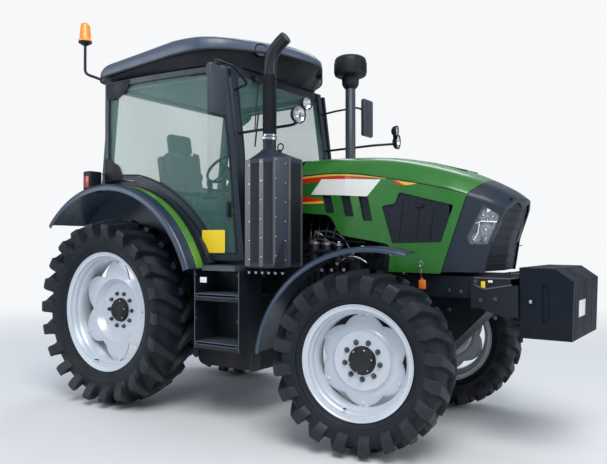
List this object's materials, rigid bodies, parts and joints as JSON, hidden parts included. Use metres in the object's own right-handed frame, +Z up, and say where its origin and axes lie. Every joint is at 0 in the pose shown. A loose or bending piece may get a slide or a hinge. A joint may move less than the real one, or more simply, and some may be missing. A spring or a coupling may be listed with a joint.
{
  "type": "farm tractor",
  "caption": "Four-wheel-drive farm tractor with a closed cab, lugged tyres, a hinged hood, front weights, an upright exhaust and a rear three-point hitch.",
  "frame": {"origin": "on the ground under the middle of the whole machine", "axes": "+X forward, +Y to the tractor's left, +Z up"},
  "size_m": [4.62, 2.39, 3.366],
  "materials": {
    "green_paint": "semi-gloss",
    "dark_panel": "satin",
    "rim_paint": "semi-gloss",
    "tyre_rubber": "matt",
    "chassis_paint": "satin",
    "castings": "matt",
    "bright_steel": "satin",
    "grey_pipe": "satin",
    "black_plastic": "matt",
    "seat_cloth": "matt",
    "window_glass": "clear",
    "lamp_glass": "clear",
    "amber": "gloss",
    "weight_paint": "matt"
  },
  "bodies": {
    "chassis": {"front_axle": "castings", "front_frame": "chassis_paint", "front_weights": "weight_paint", "engine_block": "castings", "radiator": "chassis_paint", "transmission": "castings", "drawbar": "castings", "rear_fenders": "dark_panel", "cab_floor": "chassis_paint", "cab_frame": "dark_panel", "cab_glass": "window_glass", "cab_roof": "dark_panel", "seat": "seat_cloth", "steering_column": "black_plastic", "cowl": "chassis_paint", "exhaust_box": "chassis_paint", "exhaust_stack": "grey_pipe", "air_cleaner": "grey_pipe", "mirrors": "black_plastic", "lamps": "black_plastic", "beacon": "amber", "steps": "chassis_paint", "fuel_tank": "black_plastic"},
    "wheel_rear_right": {"tyre_rear_right": "tyre_rubber", "rim_rear_right": "rim_paint"},
    "wheel_rear_left": {"tyre_rear_left": "tyre_rubber", "rim_rear_left": "rim_paint"},
    "corner_right": {"knuckle_right": "castings", "front_fender_right": "dark_panel"},
    "corner_left": {"knuckle_left": "castings", "front_fender_left": "dark_panel"},
    "wheel_front_right": {"tyre_front_right": "tyre_rubber", "rim_front_right": "rim_paint"},
    "wheel_front_left": {"tyre_front_left": "tyre_rubber", "rim_front_left": "rim_paint"},
    "tie_rod": {"tie_rod": "bright_steel"},
    "door_right": {"door_frame_right": "dark_panel", "door_glass_right": "window_glass"},
    "door_left": {"door_frame_left": "dark_panel", "door_glass_left": "window_glass"},
    "hood": {"hood_shell": "green_paint", "nose": "dark_panel", "side_grilles": "black_plastic", "headlamps": "lamp_glass"},
    "lift_arms": {"lift_arms": "castings"},
    "lift_rods": {"lift_rods": "bright_steel"},
    "lower_links": {"lower_links": "castings"},
    "top_link": {"top_link": "bright_steel"},
    "steering_wheel": {"steering_wheel": "black_plastic"}
  },
  "joints": [
    {"name": "rear_right_roll", "type": "hinge", "parent": "chassis", "child": "wheel_rear_right", "pos_m": [-1.36, -0.8, 0.79796], "axis": [0, 1, 0], "continuous": true},
    {"name": "rear_left_roll", "type": "hinge", "parent": "chassis", "child": "wheel_rear_left", "pos_m": [-1.36, 0.8, 0.79796], "axis": [0, 1, 0], "continuous": true},
    {"name": "steer_right", "type": "hinge", "parent": "chassis", "child": "corner_right", "pos_m": [1.054, -0.675, 0.60812], "axis": [0, 0, 1], "range_deg": [-45, 25]},
    {"name": "steer_left", "type": "hinge", "parent": "chassis", "child": "corner_left", "pos_m": [1.054, 0.675, 0.60812], "axis": [0, 0, 1], "range_deg": [-45, 25]},
    {"name": "front_right_roll", "type": "hinge", "parent": "corner_right", "child": "wheel_front_right", "pos_m": [1.07258, -0.78037, 0.60812], "axis": [-0.1736, 0.9848, 0], "continuous": true},
    {"name": "front_left_roll", "type": "hinge", "parent": "corner_left", "child": "wheel_front_left", "pos_m": [1.03542, 0.78037, 0.60812], "axis": [-0.1736, 0.9848, 0], "continuous": true},
    {"name": "tie_rod_swing", "type": "hinge", "parent": "corner_right", "child": "tie_rod", "pos_m": [0.89643, -0.70278, 0.45], "axis": [0, 0, 1], "range_deg": [-25, 45]},
    {"name": "steering_wheel_turn", "type": "hinge", "parent": "chassis", "child": "steering_wheel", "pos_m": [-0.84, 0, 2.07], "axis": [0.6428, 0, -0.766], "range_deg": [-300, 540]},
    {"name": "door_right_hinge", "type": "hinge", "parent": "chassis", "child": "door_right", "pos_m": [-1.488, -0.804, 2], "axis": [0, 0, -1], "range_deg": [0, 75]},
    {"name": "door_left_hinge", "type": "hinge", "parent": "chassis", "child": "door_left", "pos_m": [-1.488, 0.804, 2], "axis": [0, 0, 1], "range_deg": [0, 75]},
    {"name": "hood_hinge", "type": "hinge", "parent": "chassis", "child": "hood", "pos_m": [0.3, 0, 2.026], "axis": [0, -1, 0], "range_deg": [0, 40]},
    {"name": "lift_arm_swing", "type": "hinge", "parent": "chassis", "child": "lift_arms", "pos_m": [-1.56, 0, 1.1953], "axis": [0, 1, 0], "range_deg": [-20, 45]},
    {"name": "lower_link_swing", "type": "hinge", "parent": "chassis", "child": "lower_links", "pos_m": [-1.5, 0, 0.52], "axis": [0, 1, 0], "range_deg": [-16.66, 37.48]},
    {"name": "lift_rod_swing", "type": "hinge", "parent": "lift_arms", "child": "lift_rods", "pos_m": [-1.86, 0, 1.215], "axis": [0, 1, 0], "range_deg": [-45, 20]},
    {"name": "top_link_swing", "type": "hinge", "parent": "chassis", "child": "top_link", "pos_m": [-1.675, 0, 0.92], "axis": [0, 1, 0], "range_deg": [-10, 55]}
  ],
  "couplings": [
    {"joint": "steer_left", "follows": "steer_right", "ratio": 1},
    {"joint": "tie_rod_swing", "follows": "steer_right", "ratio": -1},
    {"joint": "steering_wheel_turn", "follows": "steer_right", "ratio": -12},
    {"joint": "lower_link_swing", "follows": "lift_arm_swing", "ratio": 0.833},
    {"joint": "lift_rod_swing", "follows": "lift_arm_swing", "ratio": -1}
  ]
}
